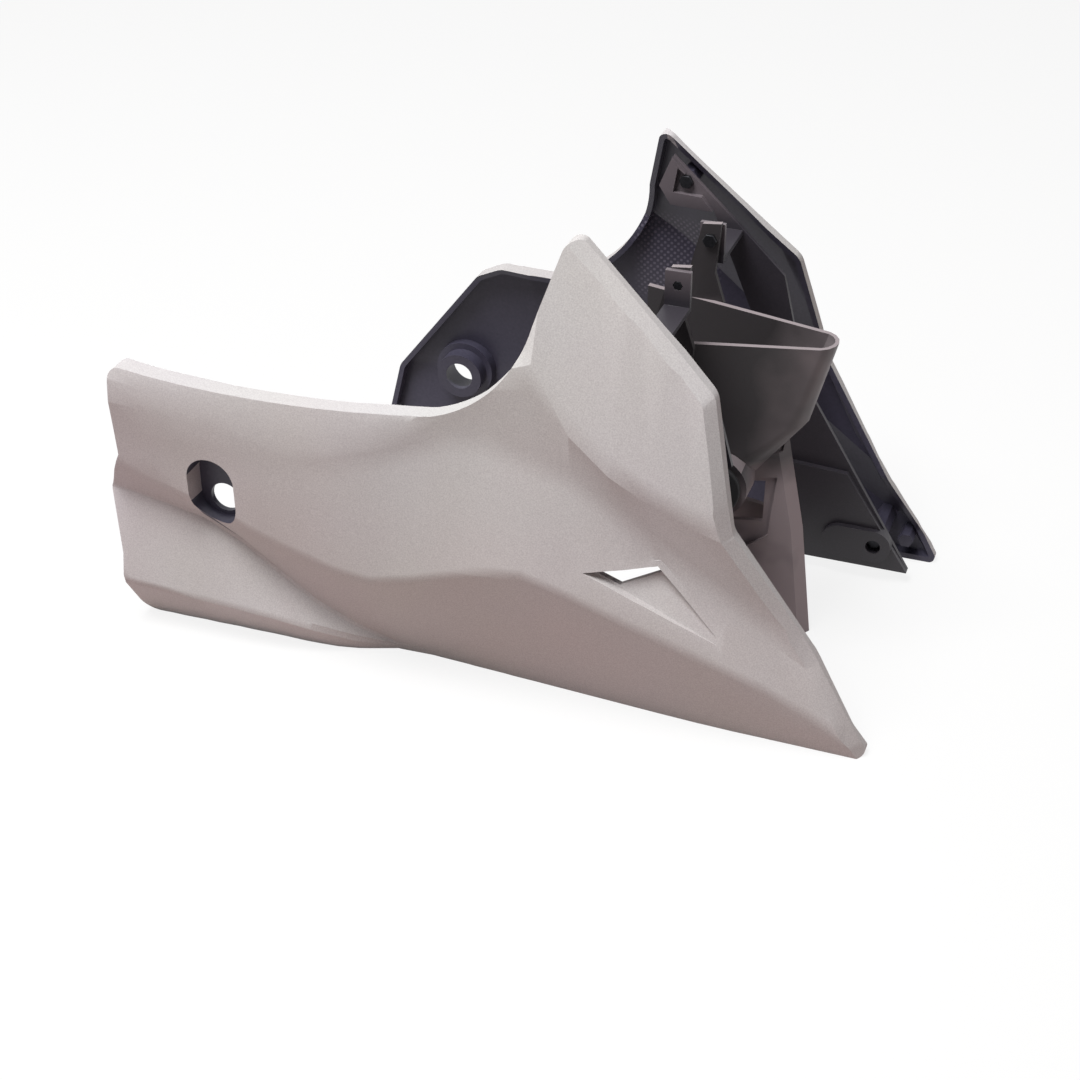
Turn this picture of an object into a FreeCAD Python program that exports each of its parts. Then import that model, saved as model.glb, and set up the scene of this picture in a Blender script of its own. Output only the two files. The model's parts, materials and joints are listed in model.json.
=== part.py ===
import FreeCAD, Part
import math
import os
import re

import Sketcher
from FreeCAD import Placement, Rotation, Vector

doc = FreeCAD.newDocument("engine_guard")
sheet = doc.addObject("Spreadsheet::Sheet", "sizes")

# Driving sizes in millimetres. +X is the front of the bike, +Y its left, +Z up,
# and the lower edges of both side cowls lie on z = 0.
SIZES = (
    # moulded walls of the side cowls
    ("wall", 2.8),
    ("rim_depth", 9.0),
    ("edge_roll", 4.5),
    ("station_pitch", 24.0),
    ("skin_pitch", 20.0),
    ("hollow_pitch", 42.0),
    ("roll_pitch", 15.0),
    ("roll_margin", 0.5),
    ("least_round", 0.25),
    # half widths of the soft folds, from the top of the skin down
    ("roll_fold", 6.0),
    ("waist_fold", 6.0),
    ("belly_fold", 3.5),
    ("groove_fold", 1.5),
    ("curl_fold", 2.5),
    ("fold_share", 0.4),
    # flank below the belly ridge: where its two lower folds lie between hem and ridge
    ("groove_share", 0.36),
    ("curl_share", 0.17),
    ("fold_start", 0.2),
    ("step_run", 80.0),
    # rounding of the cowl outlines
    ("top_sag_radius", 580.0),
    ("swoop_radius", 58.0),
    ("left_swoop_radius", 75.0),
    ("peak_round", 5.0),
    ("shoulder_round", 10.0),
    ("throat_round", 10.0),
    ("tip_round", 3.0),
    ("heel_round", 9.0),
    ("tail_round", 5.0),
    ("ear_round", 9.0),
    # right rear mount: a recessed well with a grommet hole in its floor
    ("well_x", -128.0),
    ("well_z", 86.0),
    ("well_radius", 12.5),
    ("well_reach", 6.0),
    ("well_floor", 95.0),
    ("right_mount_drop", 9.0),
    ("mount_radius", 7.5),
    # left rear mount: a stepped boss on the inside of the ear
    ("boss_x", -78.0),
    ("boss_z", 65.0),
    ("boss_radius", 12.6),
    ("boss_foot_radius", 16.0),
    ("boss_foot_face", 87.0),
    ("boss_face", 79.0),
    # small post near the tip of the left cowl
    ("tip_post_radius", 4.0),
    ("tip_post_face", 79.0),
    # air vent in the flank, with its triangular run-out
    ("vent_depth", 5.5),
    ("vent_lift", 0.7),
    # inner panels and their screws
    ("panel_y", 62.0),
    ("panel_wall", 2.5),
    ("pad_height", 3.0),
    ("oblong_radius", 9.0),
    ("tab_x", 67.0),
    ("tab_z", 178.0),
    ("tab_width", 12.0),
    ("tab_height", 19.5),
    ("post_radius", 5.0),
    ("screw_radius", 2.0),
    ("screw_head_radius", 3.5),
    ("screw_head_height", 2.2),
    ("screw_bite", 5.0),
    ("screw_clearance", 0.3),
    ("pilot_radius", 2.4),
    ("press_fit", 0.05),
    # front scoop
    ("scoop_wall", 2.5),
    ("scoop_rear_x", 42.0),
    ("strap_wall", 3.0),
    ("strap_y", 24.0),
    # lower tongue of the scoop
    ("tongue_rear_x", 82.0),
    ("tongue_half", 30.0),
    ("tongue_raise", 2.0),
    # front mounts: rubber grommets with steel collars in bosses on the scoop's cheeks
    ("front_mount_x", 94.0),
    ("front_mount_z", 90.0),
    ("cheek_root", 12.0),
    ("cheek_face", 27.5),
    ("cheek_wall", 5.0),
    ("cheek_radius", 15.8),
    ("grommet_radius", 13.0),
    ("grommet_waist", 10.0),
    ("grommet_lip", 3.0),
    ("collar_radius", 6.0),
    ("collar_bore", 3.3),
)

# Landmarks on the skin of a side cowl: x along the bike, z up, and how far out
# from the middle plane the skin stands there.
LANDMARKS = (
    # upper margin of the skin
    ("tail_top", -188.0, 146.0, 107.0),
    ("saddle", -77.0, 140.0, 105.5),
    ("valley", -16.0, 146.0, 103.0),
    ("fin_foot", 8.0, 168.0, 99.0),
    ("fin_back", 22.0, 205.0, 87.0),
    ("peak", 36.5, 228.0, 69.0),
    ("shoulder", 105.5, 165.0, 82.5),
    # fold that rolls over along the top and becomes the lower edge of the fin
    ("tail_roll", -188.0, 135.0, 111.5),
    ("saddle_roll", -77.0, 124.0, 109.0),
    ("valley_roll", -30.0, 134.0, 107.0),
    ("fin_ridge_start", 22.0, 179.0, 97.5),
    ("fin_ridge", 60.0, 136.0, 103.5),
    ("throat", 120.0, 107.0, 98.0),
    # valley under the fin
    ("tail_waist", -188.0, 104.0, 107.0),
    ("lens_top", -77.0, 106.0, 110.0),
    ("waist_start", 0.0, 137.0, 101.0),
    ("waist", 51.0, 121.0, 97.5),
    ("waist_end", 163.0, 42.0, 86.0),
    # belly ridge, the widest line of the cowl
    ("tail_belly", -188.0, 93.0, 105.5),
    ("well_belly", -125.0, 74.0, 107.5),
    ("lens_low", -50.0, 55.0, 113.0),
    ("vertex", 25.0, 81.0, 114.0),
    ("belly_mid", 107.0, 48.0, 106.5),
    ("belly_low", 145.0, 33.0, 100.0),
    ("belly_tip", 189.0, 3.0, 92.5),
    # groove above the lower rear panel
    ("tail_groove", -188.0, 74.0, 97.0),
    ("well_groove", -129.0, 65.0, 96.5),
    ("groove_low", -79.0, 17.0, 91.0),
    # edge where the lower rear panel curls under
    ("tail_curl", -188.0, 27.0, 109.5),
    ("curl", -99.0, 22.0, 108.0),
    ("curl_low", -70.0, 11.0, 98.0),
    # lower edge
    ("tail_hem", -188.0, 0.0, 93.5),
    ("step_rear", -62.0, 0.0, 91.5),
    ("step_front", -48.0, 0.0, 81.0),
    ("hem_front", 109.0, 0.0, 91.0),
    ("tip", 189.0, 0.0, 92.0),
    # the left cowl ends in a flat ear instead of the long tail
    ("ear_crown", -40.0, 134.0, 88.0),
    ("ear_roll", -40.0, 123.0, 93.0),
    ("ear_waist", -40.0, 100.0, 94.0),
    ("ear_belly", -40.0, 62.0, 96.0),
    ("ear_hem", -40.0, 0.0, 89.0),
)

# Corners of the outlines, seen from the side.
CORNERS = (
    ("rear_top", -176.0, 145.0),
    ("hip", 26.0, 190.0),
    ("heel", -180.0, 0.0),
    ("tail_low", -182.0, 40.0),
    ("tail", -189.0, 72.0),
    ("tail_notch", -177.0, 97.0),
    # the shorter left cowl
    ("left_valley", -22.0, 127.0),
    ("ear_heel", -118.0, 0.0),
    ("ear_low", -124.0, 24.0),
    ("ear_back", -116.0, 62.0),
    ("ear_slope", -68.0, 124.0),
    ("ear_top", -54.0, 131.0),
    # air vent and the point where its run-out fades into the flank
    ("vent_rear", 56.0, 82.0),
    ("vent_front_top", 88.0, 86.5),
    ("vent_front", 90.0, 82.0),
    ("vent_low", 72.0, 75.5),
    ("vent_fade", 122.0, 51.0),
    # left inner panel
    ("panel_top", 43.0, 214.0),
    ("panel_brow", 78.0, 182.0),
    ("panel_shoulder", 101.0, 160.0),
    ("panel_throat", 115.0, 104.0),
    ("panel_tip", 176.0, 6.0),
    ("panel_foot", 118.0, 6.0),
    ("panel_waist", 97.0, 112.0),
    ("panel_neck", 72.0, 170.0),
    ("panel_bay", 64.0, 189.0),
    ("pad_low", 43.0, 190.0),
    ("pad_rear", 37.0, 199.0),
    # triangular recess in the pad at the top of an inner panel
    ("recess_top", 46.0, 209.0),
    ("recess_front", 63.0, 195.5),
    ("recess_rear", 44.0, 196.5),
    # where the shorter right inner panel ends
    ("short_throat", 111.0, 124.0),
    ("short_foot", 94.0, 122.0),
    # upper edge of the raised lower field of the left inner panel
    ("field_rear", 108.0, 60.0),
    ("field_front", 141.0, 58.0),
    # screw places
    ("pad_screw", 50.0, 202.0),
    ("foot_screw", 158.0, 20.0),
    ("short_screw", 98.0, 136.0),
    ("tip_post", 171.0, 13.0),
    ("strap_screw", 73.0, 190.5),
    # strap of the scoop
    ("strap_tip_rear", 69.0, 198.0),
    ("strap_tip", 78.0, 199.0),
    ("strap_inner", 76.0, 174.0),
    ("strap_root_top", 81.0, 159.0),
    ("strap_root", 79.0, 141.0),
    ("strap_belly", 64.0, 147.0),
    ("strap_back", 61.0, 164.0),
    # tongue of the scoop
    ("keel_top", 121.0, 106.0),
    ("ledge_front", 117.0, 57.0),
    ("ledge_rear", 80.0, 33.0),
    ("toe_rear", 80.0, 0.0),
    ("toe_front", 145.0, 0.0),
    ("keel_front", 145.0, 106.0),
    ("window_low", 94.0, 64.0),
    ("window_high", 114.0, 86.0),
    ("rib_low", 98.0, 89.0),
    ("rib_high", 121.0, 102.0),
)

# Cross-sections of the scoop from the rim down: height, half width at the rear
# and at the cheeks, where the cheeks end, and the radius of the nose.
SCOOP_SECTIONS = (
    ("rim", 160.0, 32.3, 10.0, 135.5, 11.0),
    ("flare", 118.0, 31.0, 13.0, 123.0, 14.5),
    ("collar_ring", 92.0, 27.1, 24.0, 92.0, 24.5),
    ("mouth", 57.0, 22.8, 19.0, 80.0, 19.5),
)

# The same for the keel-shaped tongue below it.
TONGUE_SECTIONS = (
    ("tongue_head", 106.0, 16.0, 5.0, 118.5, 6.0),
    ("tongue_waist", 60.0, 16.0, 5.0, 128.0, 6.0),
    ("tongue_toe", 0.5, 14.0, 5.0, 135.5, 6.0),
)


def fill_sheet():
    """Write every driving size into the sheet as plain text with its own alias."""
    rows = list(SIZES)
    for name, x, z, out in LANDMARKS:
        rows += [(name + "_x", x), (name + "_z", z), (name + "_out", out)]
    for name, x, z in CORNERS:
        rows += [(name + "_x", x), (name + "_z", z)]
    for name, level, half, cheek_half, cheek_x, nose in SCOOP_SECTIONS + TONGUE_SECTIONS:
        rows += [(name + "_level", level), (name + "_half", half), (name + "_nose", nose)]
        rows += [(name + "_cheek_half", cheek_half), (name + "_cheek_x", cheek_x)]
    for number, (alias, value) in enumerate(rows, start=1):
        sheet.set("A%d" % number, alias)
        sheet.set("B%d" % number, "%g" % value)
        sheet.setAlias("B%d" % number, alias)
    doc.recompute()


def terms(text):
    """Signed size names in a sum such as 'well_x-well_radius'."""
    return [(-1 if sign == "-" else 1, name) for sign, name in re.findall(r"([+-]?)(\w+)", text)]


def mm(text):
    """Value of a size, or of a sum of sizes."""
    return sum(sign * float(sheet.get(name)) for sign, name in terms(text))


def bound(text):
    """Expression that ties a property to a size, or to a sum of sizes."""
    return " ".join(("- " if sign < 0 else "+ ") + "sizes." + name
                    for sign, name in terms(text)).removeprefix("+ ")


def flipped(text):
    """The same sum with every sign turned round."""
    return "".join(("-" if sign > 0 else "+") + name for sign, name in terms(text))


def span(side, near, far):
    """Start along Y and length between two distances from the middle plane, on one side."""
    return (near if side > 0 else flipped(far)), far + flipped(near)


def feature(name, shape):
    """Document object that holds a shape worked out in code."""
    piece = doc.addObject("Part::Feature", name)
    piece.Shape = shape
    return piece


def boolean(kind, name, base, tool):
    piece = doc.addObject("Part::" + kind, name)
    piece.Base = base
    piece.Tool = tool
    return piece


def fuse(name, pieces):
    piece = doc.addObject("Part::MultiFuse", name)
    piece.Shapes = pieces
    return piece


SIDE_VIEW = Rotation(Vector(1, 0, 0), 90)
NEAR = 0.001


def point(name):
    return (name + "_x", name + "_z")


def outline(name, corners, arcs=None):
    """Closed sketch through corners given as sums of sizes. arcs names the radius of a
    stretch by the number of the corner that it starts from; it bulges to the right."""
    arcs = arcs or {}
    sketch = doc.addObject("Sketcher::SketchObject", name)
    sketch.Placement = Placement(Vector(0, 0, 0), SIDE_VIEW)
    points = [Vector(mm(x), mm(y), 0) for x, y in corners]
    ends = []
    for index, start in enumerate(points):
        end = points[(index + 1) % len(points)]
        edge = Part.LineSegment(start, end)
        if index in arcs:
            radius = mm(arcs[index])
            chord = end - start
            across = Vector(chord.y, -chord.x, 0).normalize()
            bulge = radius - math.sqrt(max(radius ** 2 - chord.Length ** 2 / 4, 0))
            edge = Part.Arc(start, (start + end) * 0.5 + across * bulge, end)
        sketch.addGeometry(edge, False)
        forwards = (sketch.Geometry[index].StartPoint - start).Length < NEAR
        ends.append((1, 2) if forwards else (2, 1))
    for index in range(len(points)):
        after = (index + 1) % len(points)
        sketch.addConstraint(Sketcher.Constraint(
            "Coincident", index, ends[index][1], after, ends[after][0]))
    for index, place in enumerate(corners):
        for kind, text in zip(("DistanceX", "DistanceY"), place):
            number = sketch.addConstraint(Sketcher.Constraint(
                kind, index, ends[index][0], mm(text)))
            sketch.setExpression("Constraints[%d]" % number, bound(text))
        if index in arcs:
            number = sketch.addConstraint(Sketcher.Constraint("Radius", index, mm(arcs[index])))
            sketch.setExpression("Constraints[%d]" % number, bound(arcs[index]))
    return sketch


def prism(name, profile, start, length):
    """Side-view profile run over a length towards +Y from y = start."""
    piece = doc.addObject("Part::Extrusion", name)
    piece.Base = profile
    piece.DirMode = "Custom"
    piece.Dir = Vector(0, 1, 0)
    piece.Solid = True
    piece.setExpression("LengthFwd", bound(length))
    piece.setExpression("Placement.Base.y", bound(start))
    return piece


def rod(name, radius, place, start, length, sides=None):
    """Cylinder along Y from y = start, or a prism with so many sides."""
    piece = doc.addObject("Part::Prism" if sides else "Part::Cylinder", name)
    piece.Placement = Placement(Vector(0, 0, 0), Rotation(Vector(1, 0, 0), -90))
    if sides:
        piece.Polygon = sides
    piece.setExpression("Circumradius" if sides else "Radius", bound(radius))
    piece.setExpression("Height", bound(length))
    piece.setExpression("Placement.Base.x", bound(place[0]))
    piece.setExpression("Placement.Base.y", bound(start))
    piece.setExpression("Placement.Base.z", bound(place[1]))
    return piece


def rounded(name, base, rounds):
    """Prism with its edges along Y rounded, each the nearest to a corner of the outline."""
    doc.recompute()
    upright = []
    for number, edge in enumerate(base.Shape.Edges, start=1):
        run = edge.Vertexes[-1].Point - edge.Vertexes[0].Point
        if math.hypot(run.x, run.z) < NEAR:
            upright.append((number, edge.CenterOfMass))
    edges = []
    for name_of_corner, radius in rounds:
        x, z = (mm(text) for text in point(name_of_corner))
        number = min(upright, key=lambda item: math.hypot(item[1].x - x, item[1].z - z))[0]
        edges.append((number, radius, radius))
    piece = doc.addObject("Part::Fillet", name)
    piece.Base = base
    piece.Edges = edges
    return piece


# Skin of a side cowl: soft creases run along it, and cross-sections join them
def along(names, x):
    """Height and reach of a crease line at one station."""
    line = [(mm(name + "_x"), mm(name + "_z"), mm(name + "_out")) for name in names]
    if x <= line[0][0]:
        return line[0][1:]
    for start, end in zip(line, line[1:]):
        if x <= end[0]:
            return between(start[1:], end[1:], (x - start[0]) / (end[0] - start[0]))
    return line[-1][1:]


def between(start, end, share):
    return tuple(a + share * (b - a) for a, b in zip(start, end))


FOLDS = ("roll_fold", "waist_fold", "belly_fold", "groove_fold", "curl_fold")


def section(creases):
    """Points down a cross-section: two beside each fold, which leaves it soft, and a margin."""
    margin = 2 * mm("rim_depth")
    points = []
    for fold, before, here, after in zip(FOLDS, creases, creases[1:], creases[2:]):
        for other in (before, after):
            length = max(math.dist(here, other), mm("wall"))
            points.append(between(here, other, min(mm(fold) / length, mm("fold_share"))))
    above = between(creases[1], creases[0], 1 + margin / math.dist(creases[1], creases[0]))
    below = between(creases[-2], creases[-1], 1 + margin / math.dist(creases[-2], creases[-1]))
    return [above] + points + [below]


def skin(creases_at, side):
    """Smooth lines along the bike, one for each point of the cross-sections, on the
    right (-1) or left (+1)."""
    margin = 2 * mm("rim_depth")
    rear = mm("tail_x") - margin
    front = mm("tip_x") + margin
    count = math.ceil((front - rear) / mm("station_pitch")) + 1
    stations = []
    for number in range(count):
        x = rear + (front - rear) * number / (count - 1)
        stations.append([Vector(x, side * out, z) for z, out in section(creases_at(x))])
    degree = 2
    spans = count - degree
    lines = []
    for poles in zip(*stations):
        line = Part.BSplineCurve()
        line.buildFromPolesMultsKnots(
            list(poles), [degree + 1] + [1] * (spans - 1) + [degree + 1],
            list(range(spans + 1)), False, degree)
        lines.append(line)
    return lines


def solid_of(faces):
    """Solid closed by flat faces, each given by its corners."""
    shell = Part.makeShell([Part.Face(Part.makePolygon(list(face) + [face[0]])) for face in faces])
    shell.sewShape()
    solid = Part.makeSolid(shell)
    if solid.Volume < 0:
        solid.reverse()
    return solid


def facets(first, second):
    """Pairs of triangles between two rows of corners."""
    faces = []
    for number in range(len(first) - 1):
        faces.append((first[number], second[number], second[number + 1]))
        faces.append((first[number], second[number + 1], first[number + 1]))
    return faces


def skin_slab(lines, pitch, soft):
    """Solid from a skin in flat facets to the middle plane; its creases are soft, or plain folds."""
    first, last = lines[0].FirstParameter, lines[0].LastParameter
    count = math.ceil((lines[0].EndPoint.x - lines[0].StartPoint.x) / mm(pitch))
    grid = []
    for number in range(count + 1):
        row = [line.value(first + (last - first) * number / count) for line in lines]
        if not soft:
            folds = [(before + after) * 0.5 for before, after in zip(row[1:-1:2], row[2:-1:2])]
            row = [row[0]] + folds + [row[-1]]
        grid.append(row)
    faces = []
    for rear, front in zip(grid, grid[1:]):
        faces += facets(rear, front)
    border = [row[0] for row in grid] + grid[-1][1:]
    border += [row[-1] for row in reversed(grid[:-1])] + grid[0][-2:0:-1]
    flat = [Vector(place.x, 0, place.z) for place in border]
    for number in range(len(border)):
        after = (number + 1) % len(border)
        faces.append((border[number], border[after], flat[after], flat[number]))
    faces.append(flat)
    return solid_of(faces)


FIN_TOP = ("fin_foot", "fin_back", "peak", "shoulder")
FIN_RIDGE = ("fin_ridge_start", "fin_ridge", "throat")
FIN_WAIST = ("waist_start", "waist", "waist_end")
FIN_BELLY = ("vertex", "belly_mid", "belly_low", "belly_tip")


def right_creases(x):
    """Crease lines of the right cowl at one station, from its top to its lower edge."""
    belly = along(("tail_belly", "well_belly", "lens_low") + FIN_BELLY, x)
    hem = along(("tail_hem", "step_rear", "step_front", "hem_front", "tip"), x)
    grown = min(max((x - mm("step_front_x")) / mm("step_run"), mm("fold_start")), 1)
    groove = between(hem, belly, mm("groove_share") * grown)
    curl = between(hem, belly, mm("curl_share") * grown)
    if x < mm("step_front_x"):
        groove_end = along(("tail_groove", "well_groove", "groove_low"), x)
        curl_end = along(("tail_curl", "curl", "curl_low"), x)
        fade = min(max((x - mm("curl_low_x")) / (mm("step_front_x") - mm("curl_low_x")), 0), 1)
        groove = between(groove_end, groove, fade)
        curl = between(curl_end, curl, fade)
    return [
        along(("tail_top", "saddle", "valley") + FIN_TOP, x),
        along(("tail_roll", "saddle_roll", "valley_roll") + FIN_RIDGE, x),
        along(("tail_waist", "lens_top") + FIN_WAIST, x),
        belly, groove, curl, hem]


def left_creases(x):
    """Crease lines of the left cowl, which has a plain ear behind the fin."""
    belly = along(("ear_belly",) + FIN_BELLY, x)
    hem = along(("ear_hem", "hem_front", "tip"), x)
    return [
        along(("ear_crown",) + FIN_TOP, x),
        along(("ear_roll",) + FIN_RIDGE, x),
        along(("ear_waist",) + FIN_WAIST, x),
        belly, between(hem, belly, mm("groove_share")), between(hem, belly, mm("curl_share")), hem]


def reach(lines, x, z):
    """How far out a skin stands at a place seen from the side."""
    rear, front = lines[0].FirstParameter, lines[0].LastParameter
    while front - rear > NEAR:
        middle = (rear + front) / 2
        if lines[0].value(middle).x < x:
            rear = middle
        else:
            front = middle
    points = [line.value(rear) for line in lines]
    for above, below in zip(points, points[1:]):
        if z >= below.z:
            break
    share = (above.z - z) / (above.z - below.z)
    return abs(above.y + share * (below.y - above.y))


# Rolled front edge: a slanted face from the peak down to the tip
def front_path(inset):
    """Points and inward directions down the front edge, corners rounded, moved in by inset."""
    names = ("peak", "shoulder", "throat", "tip")
    corners = [Vector(mm(name + "_x"), 0, mm(name + "_z")) for name in names]
    runs = [(end - start).normalize() for start, end in zip(corners, corners[1:])]
    margin = 2 * mm("rim_depth")
    corners[0] = corners[0] - runs[0] * margin
    corners[-1] = corners[-1] + runs[-1] * margin
    stretches = []
    start = corners[0]
    for number, name in ((1, "shoulder"), (2, "throat")):
        before, after = runs[number - 1], runs[number]
        radius = mm(name + "_round")
        setback = radius * math.tan(before.getAngle(after) / 2)
        entry = corners[number] - before * setback
        leave = corners[number] + after * setback
        middle = (entry + leave) * 0.5
        bend = (corners[number] - middle).normalize()
        top = middle + bend * (radius - math.sqrt(radius ** 2 - (leave - entry).Length ** 2 / 4))
        stretches += [(start, entry), (entry, top), (top, leave)]
        start = leave
    stretches.append((start, corners[-1]))
    path = []
    for start, end in stretches:
        count = max(round((end - start).Length / mm("roll_pitch")), 1)
        path += [start + (end - start) * (number / count) for number in range(count)]
    path.append(corners[-1])
    moved = []
    for number, here in enumerate(path):
        before = path[max(number - 1, 0)]
        after = path[min(number + 1, len(path) - 1)]
        run = (after - before).normalize()
        inward = Vector(run.z, 0, -run.x)
        moved.append((here + inward * inset, inward))
    return moved


def roll_tool(lines, side, inset, size):
    """Solid that takes the slanted face off a block whose skin is set in by inset."""
    wall_line = []
    skin_line = []
    for here, inward in front_path(inset):
        edge = reach(lines, here.x, here.z) - inset
        foot = here + inward * size
        crown = reach(lines, foot.x, foot.z) - inset
        low = Vector(here.x, side * (edge - size), here.z)
        high = Vector(foot.x, side * crown, foot.z)
        beyond = (high - low) * mm("roll_margin")
        wall_line.append(low - beyond)
        skin_line.append(high + beyond)
    outward = Vector(0, side * mm("tip_out"), 0)
    corners = [wall_line, skin_line, [place + outward for place in skin_line],
               [place + outward for place in wall_line]]
    faces = [[line[0] for line in corners], [line[-1] for line in corners]]
    for number, line in enumerate(corners):
        faces += facets(line, corners[(number + 1) % len(corners)])
    return solid_of(faces)


def side_cowl(side, tag, lines, profile, rounds):
    """Thin tray and the room behind its skin: the skin cut to its outline, with a wall and a rim."""
    slabs = {
        "block": feature(tag + "_block_slab", skin_slab(lines, "skin_pitch", True)),
        "hollow": feature(tag + "_hollow_slab", skin_slab(lines, "hollow_pitch", False))}
    rooms = []
    for name, depth in (("room", mm("wall") / 2), ("rim_room", mm("rim_depth"))):
        room = feature(tag + "_" + name, slabs["hollow"].Shape)
        room.Placement.Base = Vector(0, -side * depth, 0)
        rooms.append(room)
    parts = {}
    for layer, inset in (("block", 0.0), ("hollow", mm("wall"))):
        shape = profile
        if layer == "hollow":
            slabs[layer].setExpression("Placement.Base.y", bound("-wall" if side > 0 else "wall"))
            shape = doc.addObject("Part::Offset2D", tag + "_inset")
            shape.Source = profile
            shape.Join = "Intersection"
            shape.setExpression("Value", bound("-wall"))
        column = prism(tag + "_" + layer + "_column", shape,
                       *span(side, "rim_depth", "vertex_out+rim_depth"))
        radii = []
        for name, radius in rounds:
            hollow_corner = radius.startswith("-")
            value = mm(radius.removeprefix("-"))
            smaller = max(value - inset, value * mm("least_round"))
            radii.append((name, value + inset if hollow_corner else smaller))
        column = rounded(tag + "_" + layer + "_rounded", column, radii)
        trimmed = boolean("Common", tag + "_" + layer + "_trimmed", slabs[layer], column)
        # a face at 45 degrees that stays one wall behind the outer one
        size = mm("edge_roll") - inset * (2 - math.sqrt(2))
        roll = feature(tag + "_" + layer + "_roll", roll_tool(lines, side, inset, size))
        parts[layer] = boolean("Cut", tag + "_" + layer, trimmed, roll)
    walls = boolean("Cut", tag + "_walls", parts["block"], parts["hollow"])
    return boolean("Cut", tag + "_tray", walls, rooms[1]), rooms[0]


BEYOND = "vertex_out+rim_depth"
HEXAGON = 6
NOSE_FLATS = 6
KEEL_FLATS = 2
SHANK_FLATS = 12


def vent_floor(lines, side):
    """Slanted triangle from the deep rear edge of the vent to where it meets the skin."""
    corners = []
    for name, depth in (("vent_rear", mm("vent_depth")), ("vent_front_top", mm("vent_depth")),
                        ("vent_fade", -mm("vent_lift"))):
        x, z = (mm(text) for text in point(name))
        corners.append(Vector(x, side * (reach(lines, x, z) - depth), z))
    return Part.Face(Part.makePolygon(corners + corners[:1]))


def obround(name, radius, place, rise, run, start, length):
    """Slot-shaped prism along Y: two rods, apart by rise or run, and the box between them."""
    ends = []
    for number, sign in enumerate("-+"):
        x = place[0] + sign + run if run else place[0]
        z = place[1] + sign + rise if rise else place[1]
        ends.append(rod("%s_end_%d" % (name, number), radius, (x, z), start, length))
    middle = doc.addObject("Part::Box", name + "_middle")
    half_x, half_z = (run or radius), (rise or radius)
    middle.setExpression("Length", "2 * (%s)" % bound(half_x))
    middle.setExpression("Height", "2 * (%s)" % bound(half_z))
    middle.setExpression("Width", bound(length))
    middle.setExpression("Placement.Base.x", bound(place[0]) + " - (%s)" % bound(half_x))
    middle.setExpression("Placement.Base.y", bound(start))
    middle.setExpression("Placement.Base.z", bound(place[1]) + " - (%s)" % bound(half_z))
    return fuse(name, ends + [middle])


def dressed(side, tag, tray, room, lines, bosses, cuts, posts):
    """Side cowl: the tray with its bosses, vent and screw posts."""
    floor = vent_floor(lines, side)
    outward = Vector(0, side * 2 * mm("rim_depth"), 0)
    recess = feature(tag + "_vent_recess", floor.extrude(outward))
    wider = Part.Face(floor.OuterWire.makeOffset2D(mm("wall"), 2))
    wider.translate(Vector(0, -side * mm("wall"), 0))
    backing = feature(tag + "_vent_backing", wider.extrude(outward))
    slot = prism(tag + "_vent_slot", outline(
        tag + "_vent_outline",
        [point(name) for name in ("vent_rear", "vent_front_top", "vent_front", "vent_low")]),
        *span(side, "panel_y", BEYOND))
    inside = bosses + [backing]
    outside = cuts + [recess, slot]
    for name in posts:
        inside.append(rod(tag + "_" + name + "_post", "post_radius", point(name),
                          *span(side, "panel_y+panel_wall", BEYOND), sides=HEXAGON))
        outside.append(rod(tag + "_" + name + "_pilot", "pilot_radius", point(name), *span(
            side, "panel_y", "panel_y+panel_wall+screw_bite+screw_clearance"), sides=HEXAGON))
    added = boolean("Common", tag + "_added", room, fuse(tag + "_inside", inside))
    solid = fuse(tag + "_solid", [tray, added])
    return boolean("Cut", tag + "_cowl", solid, fuse(tag + "_outside", outside))


def box(name, x, width, z, height, start, length):
    piece = doc.addObject("Part::Box", name)
    for prop, text in (("Length", width), ("Width", length), ("Height", height), ("Placement.Base.x", x),
                       ("Placement.Base.y", start), ("Placement.Base.z", z)):
        piece.setExpression(prop, bound(text))
    return piece


def inner_panel(side, tag, corners, extras, posts):
    """Flat panel behind a side cowl, with a recessed pad at its top and a tab for the scoop."""
    plate = prism(tag + "_plate", outline(tag + "_plate_outline", [point(name) for name in corners]),
                  *span(side, "panel_y", "panel_y+panel_wall"))
    pad = prism(tag + "_pad", outline(tag + "_pad_outline", [point(name) for name in (
        "panel_top", "panel_bay", "pad_low", "pad_rear")]),
        *span(side, "panel_y-pad_height", "panel_y"))
    recess = prism(tag + "_recess", outline(tag + "_recess_outline", [point(name) for name in (
        "recess_top", "recess_front", "recess_rear")]),
        *span(side, "panel_y-pad_height-pad_height", "panel_y"))
    shelf = box(tag + "_shelf", "tab_x", "tab_width", "tab_z", "panel_wall",
                *span(side, "strap_y+strap_wall", "panel_y"))
    flange = box(tag + "_flange", "tab_x", "tab_width", "tab_z", "tab_height",
                 *span(side, "strap_y+strap_wall", "strap_y+strap_wall+panel_wall"))
    body = fuse(tag + "_body", [plate, pad, shelf, flange] + extras)
    holes = [recess, rod(tag + "_tab_pilot", "pilot_radius", point("strap_screw"), *span(
        side, "strap_y", "strap_y+strap_wall+panel_wall+panel_wall"), sides=HEXAGON)]
    for name in posts:
        holes.append(rod(tag + "_" + name + "_hole", "screw_radius+screw_clearance", point(name),
                         *span(side, "panel_y-pad_height", "panel_y+panel_wall+panel_wall")))
        holes.append(rod(tag + "_" + name + "_sink", "screw_head_radius+screw_clearance", point(name),
                         *span(side, "panel_y-pad_height-pad_height-pad_height", "panel_y")))
    panel = boolean("Cut", tag + "_panel", body, fuse(tag + "_holes", holes))
    return panel


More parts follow.
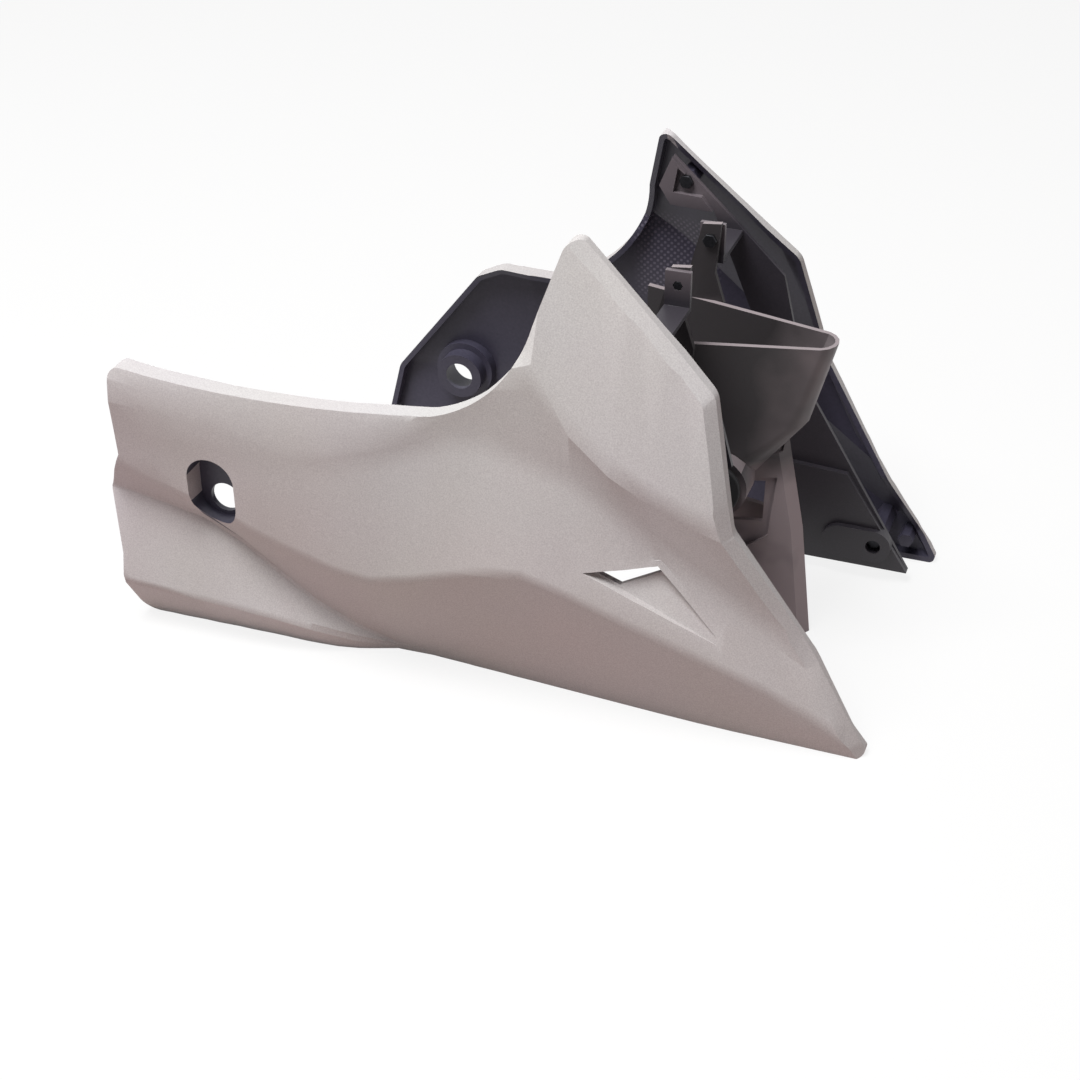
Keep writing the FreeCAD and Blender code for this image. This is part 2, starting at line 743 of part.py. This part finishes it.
def scoop_loft(name, sections, rear_x, flats, inset):
    """Solid through cross-sections of the scoop, each with its nose drawn in short flats."""
    rings = []
    for ring in [row[0] for row in sections]:
        half, cheek, radius = (mm(ring + part) - inset for part in ("_half", "_cheek_half", "_nose"))
        rear, cheek_x, level = mm(rear_x) - inset, mm(ring + "_cheek_x"), mm(ring + "_level")
        swing = math.asin(cheek / radius)
        centre = cheek_x - radius * math.cos(swing)
        corners = [Vector(rear, -half, level)]
        for number in range(flats + 1):
            angle = swing * (2 * number / flats - 1)
            corners.append(Vector(centre + radius * math.cos(angle), radius * math.sin(angle), level))
        corners.append(Vector(rear, half, level))
        rings.append(corners)
    faces = [rings[0], rings[-1]]
    for upper, lower in zip(rings, rings[1:]):
        faces += facets(upper + upper[:1], lower + lower[:1])
    return feature(name, solid_of(faces))


def screw(name, side, place, seat, grip):
    """Hexagon-head screw whose head sits at the distance seat from the middle plane."""
    head = rod(name + "_head", "screw_head_radius", place,
               *span(side, seat + "-screw_head_height", seat), sides=HEXAGON)
    shank = rod(name + "_shank", "screw_radius", place, *span(side, seat, seat + grip),
                sides=SHANK_FLATS)
    return fuse(name, [head, shank])


def group(name, pieces):
    """Separate solids kept together under one name."""
    piece = doc.addObject("Part::Compound", name)
    piece.Links = pieces
    return piece


fill_sheet()

# Side cowls
RIGHT_OUTLINE = ("rear_top", "valley", "hip", "peak", "shoulder", "throat", "tip",
                 "heel", "tail_low", "tail", "tail_notch")
LEFT_OUTLINE = ("ear_top", "left_valley", "hip", "peak", "shoulder", "throat", "tip",
                "ear_heel", "ear_low", "ear_back", "ear_slope")
FRONT_ROUNDS = (("peak", "peak_round"), ("shoulder", "shoulder_round"),
                ("throat", "-throat_round"), ("tip", "tip_round"))
RIGHT, LEFT = -1, 1

right_lines = skin(right_creases, RIGHT)
right_tray, right_room = side_cowl(
    RIGHT, "right", right_lines,
    outline("right_profile", [point(name) for name in RIGHT_OUTLINE],
            {0: "top_sag_radius", 1: "swoop_radius"}),
    FRONT_ROUNDS + (("heel", "heel_round"), ("tail", "tail_round"), ("rear_top", "tail_round")))
WELL = ("well_x", "well_z")
well_boss = obround("well_boss", "well_radius+wall", WELL, "well_reach", None,
                    *span(RIGHT, "well_floor-wall", BEYOND))
well_pocket = obround("well_pocket", "well_radius", WELL, "well_reach", None,
                      *span(RIGHT, "well_floor", BEYOND))
well_hole = rod("well_hole", "mount_radius", ("well_x", "well_z-right_mount_drop"),
                *span(RIGHT, "panel_y", BEYOND))
right_cowl = dressed(RIGHT, "right", right_tray, right_room, right_lines,
                     [well_boss], [well_pocket, well_hole], ("pad_screw", "short_screw"))
right_cowl.Label = "right_side_cowl"

left_lines = skin(left_creases, LEFT)
left_tray, left_room = side_cowl(
    LEFT, "left", left_lines,
    outline("left_profile", [point(name) for name in LEFT_OUTLINE], {1: "left_swoop_radius"}),
    FRONT_ROUNDS + (("ear_heel", "heel_round"), ("ear_low", "ear_round"), ("ear_back", "ear_round"),
                    ("ear_slope", "ear_round"), ("ear_top", "ear_round")))
EAR = ("boss_x", "boss_z")
ear_foot = rod("ear_foot", "boss_foot_radius", EAR, *span(LEFT, "boss_foot_face", BEYOND))
ear_boss = rod("ear_boss", "boss_radius", EAR, *span(LEFT, "boss_face", BEYOND))
ear_pocket = rod("ear_pocket", "boss_radius-wall", EAR, *span(LEFT, "boss_face+wall", BEYOND))
tip_post = rod("tip_post", "tip_post_radius", point("tip_post"), *span(LEFT, "tip_post_face", BEYOND),
               sides=HEXAGON)
ear_hole = rod("ear_hole", "mount_radius", EAR, *span(LEFT, "panel_y", BEYOND))
left_cowl = dressed(LEFT, "left", left_tray, left_room, left_lines,
                    [ear_foot, ear_boss, tip_post], [ear_pocket, ear_hole], ("pad_screw", "foot_screw"))
left_cowl.Label = "left_side_cowl"

# Inner panels
PANEL_TOP = ("panel_neck", "panel_bay", "pad_low", "pad_rear", "panel_top",
             "panel_brow", "panel_shoulder")
right_panel = inner_panel(RIGHT, "right_inner", PANEL_TOP + ("short_throat", "short_foot"), [],
                          ("pad_screw", "short_screw"))
right_panel.Label = "right_inner_panel"

field = prism("left_inner_field", outline("left_inner_field_outline", [point(name) for name in (
    "field_rear", "field_front", "panel_tip", "panel_foot")]),
    *span(LEFT, "panel_y-pad_height", "panel_y"))
oblong = obround("left_inner_oblong", "oblong_radius", ("foot_screw_x-oblong_radius", "foot_screw_z"),
                 None, "oblong_radius", *span(LEFT, "panel_y-pad_height-pad_height", "panel_y"))
left_panel = inner_panel(LEFT, "left_inner", PANEL_TOP + (
    "panel_throat", "panel_tip", "panel_foot", "panel_waist"), [field, oblong], ("pad_screw", "foot_screw"))
left_panel.Label = "left_inner_panel"

# Front scoop: bow, straps, grommet bosses and tongue in one moulding
BOW = (SCOOP_SECTIONS, "scoop_rear_x", NOSE_FLATS)
bow = scoop_loft("bow", *BOW, 0)
bow_room = scoop_loft("bow_room", *BOW, mm("scoop_wall"))
STRAP = ("strap_tip_rear", "strap_tip", "strap_inner", "strap_root_top", "strap_root", "strap_belly",
         "strap_back")
MOUNT = ("front_mount_x", "front_mount_z")
scoop_parts = []
scoop_holes = []
for side, tag in ((RIGHT, "right"), (LEFT, "left")):
    scoop_parts.append(prism(tag + "_strap", outline(
        tag + "_strap_outline", [point(name) for name in STRAP]),
        *span(side, "strap_y", "strap_y+strap_wall")))
    scoop_parts.append(rod(tag + "_cheek", "cheek_radius", MOUNT, *span(side, "cheek_root", "cheek_face")))
    scoop_holes.append(rod(tag + "_cheek_hole", "grommet_waist+press_fit", MOUNT,
                           *span(side, "cheek_root", "cheek_face+cheek_wall")))
    scoop_holes.append(rod(tag + "_strap_hole", "screw_radius+screw_clearance", point("strap_screw"),
                           *span(side, "strap_y-strap_wall", "strap_y+strap_wall+strap_wall")))
shell = boolean("Cut", "bow_shell", bow, bow_room)

TONGUE = (TONGUE_SECTIONS, "tongue_rear_x", KEEL_FLATS)
ACROSS = ("-tongue_half", "tongue_half+tongue_half")
plain_tongue = scoop_loft("plain_tongue", *TONGUE, 0)
proud_tongue = scoop_loft("proud_tongue", *TONGUE, -mm("tongue_raise"))
tongue_room = scoop_loft("tongue_room", *TONGUE, mm("scoop_wall"))
keel = prism("keel", outline("keel_outline", [point(name) for name in (
    "keel_top", "ledge_front", "ledge_rear", "toe_rear", "toe_front", "keel_front")]), *ACROSS)
rib, window = (box(name, name + "_low_x", name + "_high_x-" + name + "_low_x", name + "_low_z",
                   name + "_high_z-" + name + "_low_z", *ACROSS) for name in ("rib", "window"))
raised = boolean("Common", "tongue_raised", proud_tongue, fuse("tongue_fields", [keel, rib]))
tongue = boolean("Cut", "tongue", fuse("tongue_solid", [plain_tongue, raised]),
                 fuse("tongue_cuts", [tongue_room, window, bow_room]))
scoop_body = fuse("scoop_body", [shell, tongue] + scoop_parts)
scoop = boolean("Cut", "scoop", scoop_body, fuse("scoop_holes", scoop_holes))
scoop.Label = "front_scoop"

# Rubber grommets and steel collars of the front mounts
grommets = []
collars = []
for side, tag in ((RIGHT, "right"), (LEFT, "left")):
    depth = span(side, "cheek_face-cheek_wall", "cheek_face+grommet_lip")
    rubber = fuse(tag + "_rubber", [
        rod(tag + "_waist", "grommet_waist", MOUNT, *span(side, "cheek_face-cheek_wall", "cheek_face")),
        rod(tag + "_lip", "grommet_radius", MOUNT, *span(side, "cheek_face", "cheek_face+grommet_lip"))])
    grommets.append(boolean("Cut", tag + "_grommet", rubber, rod(
        tag + "_grommet_bore", "collar_radius+press_fit", MOUNT, *depth)))
    collars.append(boolean("Cut", tag + "_collar", rod(tag + "_sleeve", "collar_radius", MOUNT, *depth),
                           rod(tag + "_collar_bore", "collar_bore", MOUNT, *depth)))
front_grommets = group("front_grommets", grommets)
front_collars = group("front_collars", collars)

# Screws
panel_screws = group("panel_screws", [
    screw("right_pad_screw", RIGHT, point("pad_screw"), "panel_y", "+panel_wall+screw_bite"),
    screw("right_short_screw", RIGHT, point("short_screw"), "panel_y", "+panel_wall+screw_bite"),
    screw("left_pad_screw", LEFT, point("pad_screw"), "panel_y", "+panel_wall+screw_bite"),
    screw("left_foot_screw", LEFT, point("foot_screw"), "panel_y", "+panel_wall+screw_bite")])
strap_screws = group("strap_screws", [
    screw("right_strap_screw", RIGHT, point("strap_screw"), "strap_y", "+strap_wall+panel_wall"),
    screw("left_strap_screw", LEFT, point("strap_screw"), "strap_y", "+strap_wall+panel_wall")])

doc.recompute()
PIECES = (right_cowl, left_cowl, right_panel, left_panel, scoop, front_grommets, front_collars,
          panel_screws, strap_screws)
for item in doc.Objects:
    if "Invalid" in item.State or "Error" in item.State:
        raise RuntimeError("%s failed: %s" % (item.Name, item.State))
for item in PIECES:
    if item.Shape.isNull() or not item.Shape.isValid():
        raise RuntimeError("%s has no sound shape" % item.Label)

os.makedirs("parts", exist_ok=True)
for item in PIECES:
    item.Shape.exportStep("parts/%s.step" % item.Label)
    print(item.Label, len(item.Shape.Solids), round(item.Shape.Volume))
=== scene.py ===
import json
import math

import bpy
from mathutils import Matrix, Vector
from mathutils.bvhtree import BVHTree


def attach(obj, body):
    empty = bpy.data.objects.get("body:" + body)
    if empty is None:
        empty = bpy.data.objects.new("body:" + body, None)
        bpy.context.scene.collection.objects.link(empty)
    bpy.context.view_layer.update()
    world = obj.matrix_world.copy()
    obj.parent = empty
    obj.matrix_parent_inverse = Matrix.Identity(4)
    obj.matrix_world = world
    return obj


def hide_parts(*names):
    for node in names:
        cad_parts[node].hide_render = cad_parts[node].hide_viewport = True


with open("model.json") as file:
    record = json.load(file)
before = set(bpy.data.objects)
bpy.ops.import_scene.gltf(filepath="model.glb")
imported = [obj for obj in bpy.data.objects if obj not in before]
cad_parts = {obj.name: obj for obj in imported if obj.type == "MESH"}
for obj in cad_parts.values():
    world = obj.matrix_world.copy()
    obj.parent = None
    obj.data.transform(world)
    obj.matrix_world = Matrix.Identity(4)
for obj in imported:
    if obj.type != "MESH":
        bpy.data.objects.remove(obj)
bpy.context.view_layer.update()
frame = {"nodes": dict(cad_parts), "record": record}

# Right side cowl
# A thin shell of moulded ABS, creased along its length, sprayed satin silver-grey from outside.
# Its inside is left bare black, with a little overspray where the mist got round the rim.
MERGE = 0.00001
FLAT_ANGLE = math.radians(0.2)
EDGE_ANGLE = math.radians(26)


def moulding(cad_name, name, edge_round):
    """Own copy of a CAD solid, merged, with its edges rounded as a mould rounds them."""
    piece = bpy.data.objects.new(name, frame["nodes"][cad_name].data.copy())
    bpy.context.scene.collection.objects.link(piece)
    bpy.ops.object.select_all(action="DESELECT")
    piece.select_set(True)
    bpy.context.view_layer.objects.active = piece
    bpy.ops.object.mode_set(mode="EDIT")
    bpy.ops.mesh.select_all(action="SELECT")
    bpy.ops.mesh.remove_doubles(threshold=MERGE)
    bpy.ops.mesh.dissolve_limited(angle_limit=FLAT_ANGLE)
    bpy.ops.object.mode_set(mode="OBJECT")
    bpy.ops.object.shade_smooth()
    bevel = piece.modifiers.new("moulded_edges", "BEVEL")
    bevel.limit_method = "ANGLE"
    bevel.angle_limit = EDGE_ANGLE
    bevel.width = edge_round
    bevel.segments = 3
    bpy.ops.object.modifier_apply(modifier=bevel.name)
    weighted = piece.modifiers.new("flat_fields", "WEIGHTED_NORMAL")
    weighted.weight = 90
    bpy.ops.object.modifier_apply(modifier=weighted.name)
    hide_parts(cad_name)
    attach(piece, "root")
    return piece


FAN_SPREAD = 1.6
GRAZING = 0.05
RAY_LIFT = 0.0002


def spray(piece, outward, unsprayed_low=None, unsprayed_high=None):
    """Marks the faces that a fan of spray directions reaches, apart from those in a given box, which stay
    unpainted: a plugged bore, and a well kept dark as painted shade.
    """
    spread = (-FAN_SPREAD, 0, FAN_SPREAD)
    fan = [Vector((x, outward, z)).normalized() for x in spread for z in spread]
    tree = BVHTree.FromObject(piece, bpy.context.evaluated_depsgraph_get())
    painted = piece.data.attributes.new("painted", "FLOAT", "FACE")
    for face in piece.data.polygons:
        reached = 0
        for direction in fan:
            if face.normal.dot(direction) < GRAZING:
                continue
            if tree.ray_cast(face.center + face.normal * RAY_LIFT, direction)[0] is None:
                reached += 1
        unsprayed = unsprayed_low and all(
            low < at < high for low, at, high in zip(unsprayed_low, face.center, unsprayed_high))
        painted.data[face.index].value = 0 if unsprayed else min(reached / 2, 1)


def linear(hex_text):
    """Linear colour of an sRGB hex value."""
    channels = [int(hex_text[place:place + 2], 16) / 255 for place in (1, 3, 5)]
    return [c / 12.92 if c <= 0.04045 else ((c + 0.055) / 1.055) ** 2.4 for c in channels] + [1]


def node(material, kind, inputs=None, **settings):
    """Adds one shader node with its settings, and sets or links its inputs."""
    made = material.node_tree.nodes.new("ShaderNode" + kind)
    for name, value in settings.items():
        setattr(made, name, value)
    for socket, value in (inputs or {}).items():
        if isinstance(value, bpy.types.NodeSocket):
            material.node_tree.links.new(value, made.inputs[socket])
        else:
            made.inputs[socket].default_value = value
    return made


def finish_of(name):
    """New material with its shader and its Object coordinates."""
    material = bpy.data.materials.new(name)
    material.use_nodes = True
    shader = material.node_tree.nodes["Principled BSDF"]
    place = node(material, "TexCoord").outputs["Object"]
    return material, shader, place


def dress(piece, material):
    piece.data.materials.clear()
    piece.data.materials.append(material)


def product(material, *values):
    """Values multiplied with each other."""
    total = values[0]
    for value in values[1:]:
        total = node(material, "Math", {0: total, 1: value}, operation="MULTIPLY").outputs[0]
    return total


SOFT_EDGE = 0.006


def within(material, value, low, high):
    """1 between two places and 0 outside them, with a soft edge."""
    rise = node(material, "MapRange", {"Value": value, "From Min": low, "From Max": low + SOFT_EDGE})
    fall = node(material, "MapRange", {"Value": value, "From Min": high, "From Max": high - SOFT_EDGE})
    return product(material, rise.outputs[0], fall.outputs[0])


# Satin silver paint on ABS: fine aluminium flake in a flat clear binder gives a broad soft sheen and
# a sandy sparkle. The flake is drawn at 0.6 mm, coarser than the real 0.05 mm, so that it shows.
FLAKE_MM = 0.6
PEEL_MM = 6.0
CLOUD_MM = 110.0
MIST_MM = 1.6
DOT_MM = 3.5
PER_MM = 1000.0

paint, shader, place = finish_of("satin_silver_paint_on_abs")
flake = node(paint, "TexNoise", {"Vector": place, "Scale": PER_MM / FLAKE_MM, "Detail": 1.0})
flake_tone = node(paint, "ValToRGB", {"Fac": flake.outputs["Fac"]})
flake_tone.color_ramp.elements[0].position = 0.3
flake_tone.color_ramp.elements[0].color = linear("#C0BBBB")
flake_tone.color_ramp.elements[1].position = 0.7
flake_tone.color_ramp.elements[1].color = linear("#D2CECD")
cloud = node(paint, "TexNoise", {"Vector": place, "Scale": PER_MM / CLOUD_MM, "Detail": 2.0})
cloud_tone = node(paint, "Mix", {0: 0.1, 6: flake_tone.outputs["Color"], 7: cloud.outputs["Color"]},
                  data_type="RGBA", blend_type="SOFT_LIGHT")
mist = node(paint, "TexNoise", {"Vector": place, "Scale": PER_MM / MIST_MM, "Detail": 3.0})
speck = node(paint, "MapRange", {"Value": mist.outputs["Fac"], "To Min": -0.3, "To Max": 0.3})
mask = node(paint, "Attribute", attribute_name="painted")
ragged = node(paint, "Math", {0: mask.outputs["Fac"], 1: speck.outputs[0]}, operation="ADD")
cover = node(paint, "MapRange", {"Value": ragged.outputs[0], "From Min": 0.35, "From Max": 0.65})
inside_tone = node(paint, "Mix", {0: mist.outputs["Fac"], 6: linear("#383644"), 7: linear("#4A4757")},
                   data_type="RGBA")
# The inside of the left fin has a moulded grid of small dots, shown by a painted highlight: a lighter
# tone on each dot.
at = node(paint, "SeparateXYZ", {0: place}).outputs
rows = [node(paint, "Math", {0: product(paint, at[axis], 2 * math.pi * PER_MM / DOT_MM)},
             operation="SINE").outputs[0] for axis in ("X", "Z")]
dots = node(paint, "MapRange", {"Value": product(paint, *rows), "From Min": 0.1, "From Max": 0.6})
fin_inside = product(paint, within(paint, at["X"], 0.014, 0.062), within(paint, at["Z"], 0.118, 0.172),
                     within(paint, at["Y"], 0.05, 0.12), 0.55)
dot_highlight_tone = node(paint, "Mix", {0: product(paint, dots.outputs[0], fin_inside),
                                  6: inside_tone.outputs[2], 7: linear("#8A8494")}, data_type="RGBA")
skin_tone = node(paint, "Mix", {0: cover.outputs[0], 6: dot_highlight_tone.outputs[2], 7: cloud_tone.outputs[2]},
                 data_type="RGBA")
gloss = node(paint, "MapRange", {"Value": cover.outputs[0], "To Min": 0.42, "To Max": 0.62})
metal = node(paint, "MapRange", {"Value": cover.outputs[0], "To Min": 0.0, "To Max": 0.04})
peel = node(paint, "TexNoise", {"Vector": place, "Scale": PER_MM / PEEL_MM, "Detail": 2.0})
peel_bump = node(paint, "Bump", {"Height": peel.outputs["Fac"], "Strength": 0.06, "Distance": 0.0004})
flake_bump = node(paint, "Bump", {"Height": flake.outputs["Fac"], "Strength": 0.1, "Distance": 0.0002,
                                  "Normal": peel_bump.outputs[0]})
shader.inputs["IOR"].default_value = 1.5
for socket, value in (("Base Color", skin_tone.outputs[2]), ("Roughness", gloss.outputs[0]),
                      ("Metallic", metal.outputs[0]), ("Normal", flake_bump.outputs[0])):
    paint.node_tree.links.new(value, shader.inputs[socket])

# The walls of the rear mount's well are left unpainted, bare black ABS: painted shade for the deep well.
COWL_ROUND = 0.0013
WELL_SHADE_LOW = Vector((-0.0124, -0.0135, -0.0095))
WELL_SHADE_HIGH = Vector((0.0124, 0.002, 0.0275))

right_cowl = moulding("right_side_cowl", "right_cowl_moulding", COWL_ROUND)
mounts = {mount["name"]: Vector(mount["pos_m"]) for mount in frame["record"]["mounts"]}
well = mounts["right_rear_mount"]
spray(right_cowl, -1, well + WELL_SHADE_LOW, well + WELL_SHADE_HIGH)
dress(right_cowl, paint)

# Left side cowl
# The same moulding in a shorter form, which ends in an ear with a stepped boss for the rear mount.
# It has the same paint outside and the same bare black ABS inside, also in the plugged boss.
BOSS_PLUG_LOW = Vector((-0.0105, -0.003, -0.0105))
BOSS_PLUG_HIGH = Vector((0.0105, 0.014, 0.0105))

left_cowl = moulding("left_side_cowl", "left_cowl_moulding", COWL_ROUND)
boss = mounts["left_rear_mount"]
spray(left_cowl, 1, boss + BOSS_PLUG_LOW, boss + BOSS_PLUG_HIGH)
dress(left_cowl, paint)

# Inner panels
# Two liners of bare black ABS, screwed to posts in the side cowls. Their faces carry the fine
# grain of a spark-eroded mould, and a grey haze of overspray lies on the pads at the top.
GRAIN_MM = 0.8

bare, shader, place = finish_of("bare_black_abs")
grain = node(bare, "TexNoise", {"Vector": place, "Scale": PER_MM / GRAIN_MM, "Detail": 2.0})
tone = node(bare, "ValToRGB", {"Fac": grain.outputs["Fac"]})
tone.color_ramp.elements[0].color = linear("#28252B")
tone.color_ramp.elements[1].color = linear("#37333A")
split = node(bare, "SeparateXYZ", {0: place})
haze = node(bare, "MapRange", {"Value": split.outputs["Z"], "From Min": 0.183, "From Max": 0.197,
                               "To Max": 0.75})
hazed = node(bare, "Mix", {0: haze.outputs[0], 6: tone.outputs["Color"], 7: linear("#766D72")},
             data_type="RGBA")
bump = node(bare, "Bump", {"Height": grain.outputs["Fac"], "Strength": 0.15, "Distance": 0.0002})
shader.inputs["Roughness"].default_value = 0.44
shader.inputs["IOR"].default_value = 1.53
bare.node_tree.links.new(hazed.outputs[2], shader.inputs["Base Color"])
bare.node_tree.links.new(bump.outputs[0], shader.inputs["Normal"])

for side in ("left", "right"):
    panel = moulding(side + "_inner_panel", side + "_panel_moulding", 0.0005)
    dress(panel, bare)

# Front scoop
# One dark ABS moulding: a V-shaped bow with a rolled rim, a strap at each rear end and a tongue below.
# Grey overspray from the cowls' paint lies on its nose and tongue; faces that face up get a painted
# highlight.
DRIFT_MM = 40.0
FACES_UP = 0.6
UP_FACE_HIGHLIGHT = 0.65

scoop_finish, shader, place = finish_of("dark_abs_with_overspray_and_painted_highlight")
grain = node(scoop_finish, "TexNoise", {"Vector": place, "Scale": PER_MM / GRAIN_MM, "Detail": 2.0})
drift = node(scoop_finish, "TexNoise", {"Vector": place, "Scale": PER_MM / DRIFT_MM, "Detail": 3.0})
split = node(scoop_finish, "SeparateXYZ", {0: place})
forward = node(scoop_finish, "MapRange", {"Value": split.outputs["X"], "From Min": 0.085, "From Max": 0.135,
                                   "To Max": 0.42})
low_down = node(scoop_finish, "MapRange", {"Value": split.outputs["Z"], "From Min": 0.105, "From Max": 0.085})
reach = node(scoop_finish, "Math", {0: forward.outputs[0], 1: low_down.outputs[0]}, operation="MAXIMUM")
drifted = node(scoop_finish, "Math", {0: reach.outputs[0], 1: drift.outputs["Fac"]}, operation="MULTIPLY")
blown = node(scoop_finish, "MapRange", {"Value": drifted.outputs[0], "From Min": 0.1, "From Max": 0.5})
# The overspray is joined by a painted highlight: a lighter colour on the faces that face up.
up_face_highlight = node(scoop_finish, "Attribute", attribute_name="up_face_highlight")
overspray_and_highlight = node(scoop_finish, "Math", {0: blown.outputs[0], 1: up_face_highlight.outputs["Fac"]}, operation="MAXIMUM")
tone = node(scoop_finish, "Mix", {0: overspray_and_highlight.outputs[0], 6: linear("#2F2B2D"), 7: linear("#AFA3A6")},
            data_type="RGBA")
bump = node(scoop_finish, "Bump", {"Height": grain.outputs["Fac"], "Strength": 0.15, "Distance": 0.0002})
shader.inputs["Roughness"].default_value = 0.55
shader.inputs["IOR"].default_value = 1.53
scoop_finish.node_tree.links.new(tone.outputs[2], shader.inputs["Base Color"])
scoop_finish.node_tree.links.new(bump.outputs[0], shader.inputs["Normal"])

scoop = moulding("front_scoop", "front_scoop_moulding", 0.0006)
# Faces turned up are marked for the painted highlight.
up_face_marks = scoop.data.attributes.new("up_face_highlight", "FLOAT", "FACE")
for face in scoop.data.polygons:
    up_face_marks.data[face.index].value = UP_FACE_HIGHLIGHT if face.normal.z > FACES_UP else 0
dress(scoop, scoop_finish)

# Front grommets
# Two black rubber grommets pressed into the cheeks of the scoop, matt from the mould release.
BLOOM_MM = 3.0

rubber, shader, place = finish_of("moulded_rubber")
bloom = node(rubber, "TexNoise", {"Vector": place, "Scale": PER_MM / BLOOM_MM, "Detail": 3.0})
tone = node(rubber, "ValToRGB", {"Fac": bloom.outputs["Fac"]})
tone.color_ramp.elements[0].color = linear("#151516")
tone.color_ramp.elements[1].color = linear("#242325")
shader.inputs["Roughness"].default_value = 0.75
rubber.node_tree.links.new(tone.outputs["Color"], shader.inputs["Base Color"])
grommets = moulding("front_grommets", "front_grommet_rings", 0.0008)
dress(grommets, rubber)

# Front collars
# Turned steel sleeves in the grommets, bright zinc-plated, with fine turning marks.
TURNING_MM = 0.7

zinc, shader, place = finish_of("zinc_plated_steel")
marks = node(zinc, "TexNoise", {"Vector": place, "Scale": PER_MM / TURNING_MM, "Detail": 2.0})
tone = node(zinc, "ValToRGB", {"Fac": marks.outputs["Fac"]})
tone.color_ramp.elements[0].color = linear("#A9A9AC")
tone.color_ramp.elements[1].color = linear("#CFCFD2")
shader.inputs["Metallic"].default_value = 1.0
shader.inputs["Roughness"].default_value = 0.32
zinc.node_tree.links.new(tone.outputs["Color"], shader.inputs["Base Color"])
collars = moulding("front_collars", "front_collar_sleeves", 0.0004)
dress(collars, zinc)

# Screws
# Small blackened steel screws that hold the inner panels and the straps of the scoop.
OXIDE_MM = 1.2

black_steel, shader, place = finish_of("blackened_steel")
oxide = node(black_steel, "TexNoise", {"Vector": place, "Scale": PER_MM / OXIDE_MM, "Detail": 2.0})
tone = node(black_steel, "ValToRGB", {"Fac": oxide.outputs["Fac"]})
tone.color_ramp.elements[0].color = linear("#232326")
tone.color_ramp.elements[1].color = linear("#3A3A3E")
shader.inputs["Metallic"].default_value = 0.8
shader.inputs["Roughness"].default_value = 0.42
black_steel.node_tree.links.new(tone.outputs["Color"], shader.inputs["Base Color"])
for name in ("panel_screws", "strap_screws"):
    screws = moulding(name, name + "_bevelled", 0.0003)
    dress(screws, black_steel)

# Studio
# A pale floor, a soft overhead box and a pale surround, with the camera as in the photograph.
# Floor and surround are pale to the eye, and as lamps they are dim and a little warm.
FLOOR_GLOW = 0.85
SURROUND_LIGHT = 0.1

bpy.ops.object.select_all(action="DESELECT")
bpy.ops.mesh.primitive_plane_add(size=12)
floor = bpy.context.object
floor.name = "studio_floor"
pale, shader, place = finish_of("pale_studio_floor")


def looked_at(surround):
    """1 for rays that show the surround itself: straight, mirrored or through something clear."""
    path = node(surround, "LightPath")
    mirrored = node(surround, "Math", {0: path.outputs["Is Glossy Ray"],
                                       1: path.outputs["Is Transmission Ray"]}, operation="MAXIMUM")
    return node(surround, "Math", {0: path.outputs["Is Camera Ray"], 1: mirrored.outputs[0]},
                operation="MAXIMUM").outputs[0]


shown = looked_at(pale)
seen = node(pale, "Emission", {"Color": linear("#FFFFFF")})
veil = node(pale, "Math", {0: shown, 1: FLOOR_GLOW}, operation="MULTIPLY")
lit = node(pale, "MixShader", {0: veil.outputs[0], 1: shader.outputs[0], 2: seen.outputs[0]})
pale.node_tree.links.new(lit.outputs[0], pale.node_tree.nodes["Material Output"].inputs["Surface"])
field = node(pale, "Mix", {0: shown, 6: linear("#B29C98"), 7: linear("#F4F3F2")},
             data_type="RGBA")
pale.node_tree.links.new(field.outputs[2], shader.inputs["Base Color"])
shader.inputs["Roughness"].default_value = 0.9
dress(floor, pale)

world = bpy.context.scene.world or bpy.data.worlds.new("studio")
bpy.context.scene.world = world
world.use_nodes = True
backdrop = world.node_tree.nodes["Background"]
backdrop.inputs["Color"].default_value = linear("#F6F6F8")
level = node(world, "MapRange", {"Value": looked_at(world), "To Min": SURROUND_LIGHT, "To Max": 1.0})
world.node_tree.links.new(level.outputs[0], backdrop.inputs["Strength"])


def softbox(name, place, aim, size, power):
    """Square area lamp at a place, turned to a point."""
    lamp = bpy.data.lights.new(name, "AREA")
    lamp.size = size
    lamp.energy = power
    holder = bpy.data.objects.new(name, lamp)
    bpy.context.scene.collection.objects.link(holder)
    holder.location = place
    holder.rotation_euler = (Vector(aim) - Vector(place)).to_track_quat("-Z", "Y").to_euler()


softbox("overhead_box", (-0.38, -0.46, 1.55), (0, 0, 0.08), 0.8, 33)
softbox("front_box", (1.1, 0.5, 0.9), (0.05, 0, 0.1), 0.7, 1)

# Where the photograph was taken from: turn and rise in radians, distance and aim in metres.
FILM_MM = 36
PHOTO_PX = 1080
FOCAL_PX = 2000
VIEW_TURN = 0.3473
VIEW_RISE = 0.5642
VIEW_DISTANCE = 1.0234
VIEW_TARGET = Vector((-0.00269, 0, 0.02307))
back = Vector((math.sin(VIEW_TURN) * math.cos(VIEW_RISE), -math.cos(VIEW_TURN) * math.cos(VIEW_RISE),
               math.sin(VIEW_RISE)))
camera = bpy.data.objects.new("photo_camera", bpy.data.cameras.new("photo_camera"))
bpy.context.scene.collection.objects.link(camera)
camera.location = VIEW_TARGET + back * VIEW_DISTANCE
camera.rotation_euler = (-back).to_track_quat("-Z", "Y").to_euler()
camera.data.lens = FILM_MM * FOCAL_PX / PHOTO_PX
bpy.context.scene.camera = camera
bpy.context.scene.view_settings.view_transform = "Standard"
